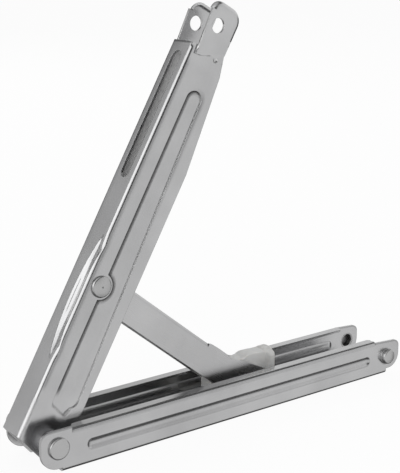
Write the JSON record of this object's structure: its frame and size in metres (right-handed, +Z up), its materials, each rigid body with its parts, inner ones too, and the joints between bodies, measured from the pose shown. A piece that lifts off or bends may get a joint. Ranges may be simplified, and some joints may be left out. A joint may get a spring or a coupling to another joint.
{
  "type": "adjustable desk hinge",
  "caption": "Folding support hinge: a lipped channel base, a hinged upper channel arm and a channel strut whose forked foot rides on a nylon slider in the base.",
  "frame": {"origin": "middle of the flat underside of the lower arm", "axes": "+X along the lower arm from the pivot to its far end, +Z up, +Y to the back"},
  "size_m": [0.2805, 0.0488, 0.2499],
  "materials": {
    "sheet_steel": "bright zinc-plated rolled sheet with a faint grain",
    "rivet_steel": "bright zinc-plated, turned",
    "bush_steel": "satin zinc-plated",
    "inner_steel": "plain steel",
    "nylon": "natural white nylon, slightly glossy"
  },
  "bodies": {
    "base": {"base_channel": "sheet_steel", "pivot_rivet": "rivet_steel", "pivot_washer": "inner_steel", "pivot_sleeve": "inner_steel", "front_pivot_spacer": "inner_steel", "back_pivot_spacer": "inner_steel", "front_end_bush": "bush_steel", "back_end_bush": "bush_steel"},
    "upper_arm": {"upper_channel": "sheet_steel", "strut_rivet": "rivet_steel", "front_strut_washer": "nylon", "back_strut_washer": "nylon"},
    "strut": {"strut": "sheet_steel", "foot_pin": "rivet_steel", "strut_sleeve": "inner_steel"},
    "slider": {"slider_block": "nylon", "friction_spring": "inner_steel"}
  },
  "joints": [
    {"name": "fold", "type": "hinge", "parent": "base", "child": "upper_arm", "pos_m": [-0.1263, 0, 0.0147], "axis": [0, 1, 0], "range_deg": [0, 60.1]},
    {"name": "strut_swing", "type": "hinge", "parent": "upper_arm", "child": "strut", "pos_m": [-0.09058, 0, 0.09809], "axis": [0, 1, 0], "range_deg": [-94, 0]},
    {"name": "slider_level", "type": "hinge", "parent": "strut", "child": "slider", "pos_m": [0.01432, 0, 0.012], "axis": [0, 1, 0], "range_deg": [0, 33.9]}
  ],
  "couplings": [
    {"joint": "strut_swing", "follows": "fold", "ratio": -1.5617},
    {"joint": "slider_level", "follows": "fold", "ratio": 0.5617}
  ]
}
